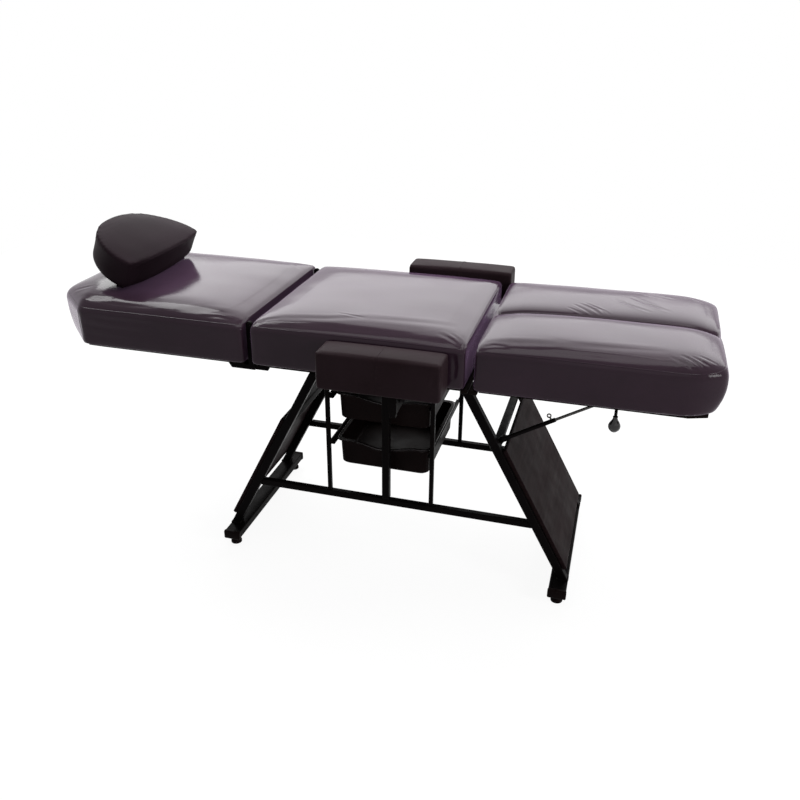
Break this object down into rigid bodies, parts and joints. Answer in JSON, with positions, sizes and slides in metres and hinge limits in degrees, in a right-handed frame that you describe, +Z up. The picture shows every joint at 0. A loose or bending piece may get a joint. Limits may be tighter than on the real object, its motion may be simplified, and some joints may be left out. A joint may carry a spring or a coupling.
{
  "type": "massage table",
  "caption": "Padded treatment table in hinged sections on a splayed steel base, with a tilting head pillow, armrests that lift and pull out, a leg-rest strut and tool trays that draw out.",
  "frame": {"origin": "on the floor, under the middle of the table's bounding box", "axes": "+X towards the leg rest, +Y towards the side away from the release lever, +Z up"},
  "size_m": [1.8875, 0.769, 0.9468],
  "materials": {
    "frame_steel": "semi-gloss black paint",
    "hardware": "bright steel",
    "leatherette": "glossy leatherette, dark aubergine brown",
    "pillow_leatherette": "satin leatherette, almost black",
    "panel_board": "board covered in dark brown leatherette",
    "board": "plywood with a black cloth under it",
    "plastic": "near-black moulded plastic",
    "knob_plastic": "glossy black plastic"
  },
  "bodies": {
    "frame": {"leg_head_near": "frame_steel", "leg_head_far": "frame_steel", "leg_foot_near": "frame_steel", "leg_foot_far": "frame_steel", "floor_bar_head": "frame_steel", "floor_bar_foot": "frame_steel", "side_rail_near": "frame_steel", "side_rail_far": "frame_steel", "top_rail_near": "frame_steel", "top_rail_far": "frame_steel", "cross_bar_head": "frame_steel", "cross_bar_foot": "frame_steel", "centre_post": "frame_steel", "tray_post_head_near": "frame_steel", "tray_post_head_far": "frame_steel", "tray_post_foot_near": "frame_steel", "tray_post_foot_far": "frame_steel", "tray_runner_upper_head": "frame_steel", "tray_runner_upper_foot": "frame_steel", "tray_runner_lower_head": "frame_steel", "tray_runner_lower_foot": "frame_steel", "leg_panel_head": "panel_board", "leg_panel_foot": "panel_board", "seat_cushion": "leatherette", "seat_board": "board", "back_hinge_seat_arm_near": "frame_steel", "back_hinge_seat_arm_far": "frame_steel", "leg_hinge_seat_leaf": "frame_steel", "armrest_receiver": "frame_steel"},
    "backrest": {"back_cushion": "leatherette", "back_board": "board", "back_hinge_back_arm_near": "frame_steel", "back_hinge_back_arm_far": "frame_steel", "pillow_post_near": "frame_steel", "pillow_post_far": "frame_steel"},
    "pillow": {"pillow_cushion": "pillow_leatherette", "pillow_board": "board"},
    "leg_rest": {"leg_rest_cushion": "leatherette", "leg_rest_board": "board", "leg_rest_rail_near": "frame_steel", "leg_rest_rail_far": "frame_steel", "leg_hinge_leg_leaf": "frame_steel", "strut_bracket": "frame_steel"},
    "strut_outer": {"strut_tube": "frame_steel"},
    "strut_inner": {"strut_rod": "hardware"},
    "strut_clamp": {"clamp_screw": "hardware"},
    "release": {"release_lever": "frame_steel", "release_knob": "knob_plastic"},
    "armrest_near_arm": {"armrest_bar_near": "frame_steel"},
    "armrest_near_top": {"armrest_post_near": "frame_steel", "armrest_pad_near": "leatherette"},
    "armrest_far_arm": {"armrest_bar_far": "frame_steel"},
    "armrest_far_top": {"armrest_post_far": "frame_steel", "armrest_pad_far": "leatherette"},
    "upper_tray": {"tray_upper": "plastic"},
    "lower_tray": {"tray_lower": "plastic"},
    "glide_head_near_foot": {"glide_head_near": "plastic"},
    "glide_head_far_foot": {"glide_head_far": "plastic"},
    "glide_foot_near_foot": {"glide_foot_near": "plastic"},
    "glide_foot_far_foot": {"glide_foot_far": "plastic"}
  },
  "joints": [
    {"name": "back_hinge", "type": "hinge", "parent": "frame", "child": "backrest", "pos_m": [-0.29233, 0, 0.752], "axis": [0, 1, 0], "range_deg": [0, 75]},
    {"name": "pillow_tilt", "type": "hinge", "parent": "backrest", "child": "pillow", "pos_m": [-0.75433, 0, 0.78769], "axis": [0, 1, 0], "range_deg": [-20, 0]},
    {"name": "leg_rest_hinge", "type": "hinge", "parent": "frame", "child": "leg_rest", "pos_m": [0.32567, 0, 0.6374], "axis": [0, 1, 0], "range_deg": [0, 40]},
    {"name": "strut_swing", "type": "hinge", "parent": "frame", "child": "strut_outer", "pos_m": [0.41309, -0.185, 0.468], "axis": [0, 1, 0], "range_deg": [0, 53]},
    {"name": "strut_slide", "type": "slide", "parent": "strut_outer", "child": "strut_inner", "axis": [0.8626, 0, 0.506], "range_m": [-0.1207, 0]},
    {"name": "clamp_turn", "type": "hinge", "parent": "strut_outer", "child": "strut_clamp", "pos_m": [0.53643, -0.185, 0.54035], "axis": [-0.506, 0, 0.8626], "range_deg": [-90, 90]},
    {"name": "release_swing", "type": "hinge", "parent": "leg_rest", "child": "release", "pos_m": [0.69567, 0, 0.6204], "axis": [0, 1, 0], "range_deg": [0, 20], "stiffness_Nm_per_rad": 0.3, "springref_deg": -11.46},
    {"name": "armrest_near_pull", "type": "slide", "parent": "frame", "child": "armrest_near_arm", "axis": [0, -1, 0], "range_m": [0, 0.08]},
    {"name": "armrest_near_lift", "type": "slide", "parent": "armrest_near_arm", "child": "armrest_near_top", "axis": [0, 0, 1], "range_m": [0, 0.039]},
    {"name": "armrest_far_pull", "type": "slide", "parent": "frame", "child": "armrest_far_arm", "axis": [0, 1, 0], "range_m": [0, 0.08]},
    {"name": "armrest_far_lift", "type": "slide", "parent": "armrest_far_arm", "child": "armrest_far_top", "axis": [0, 0, 1], "range_m": [-0.039, 0]},
    {"name": "upper_tray_slide", "type": "slide", "parent": "frame", "child": "upper_tray", "axis": [0, 1, 0], "range_m": [0, 0.24]},
    {"name": "lower_tray_slide", "type": "slide", "parent": "frame", "child": "lower_tray", "axis": [0, 1, 0], "range_m": [0, 0.24]},
    {"name": "glide_head_near_screw", "type": "slide", "parent": "frame", "child": "glide_head_near_foot", "axis": [0, 0, -1], "range_m": [0, 0.012]},
    {"name": "glide_head_far_screw", "type": "slide", "parent": "frame", "child": "glide_head_far_foot", "axis": [0, 0, -1], "range_m": [0, 0.012]},
    {"name": "glide_foot_near_screw", "type": "slide", "parent": "frame", "child": "glide_foot_near_foot", "axis": [0, 0, -1], "range_m": [0, 0.012]},
    {"name": "glide_foot_far_screw", "type": "slide", "parent": "frame", "child": "glide_foot_far_foot", "axis": [0, 0, -1], "range_m": [0, 0.012]}
  ],
  "couplings": [
    {"joint": "strut_swing", "follows": "leg_rest_hinge", "ratio": 1.3242},
    {"joint": "strut_slide", "follows": "leg_rest_hinge", "m_per_rad": -0.17254}
  ]
}
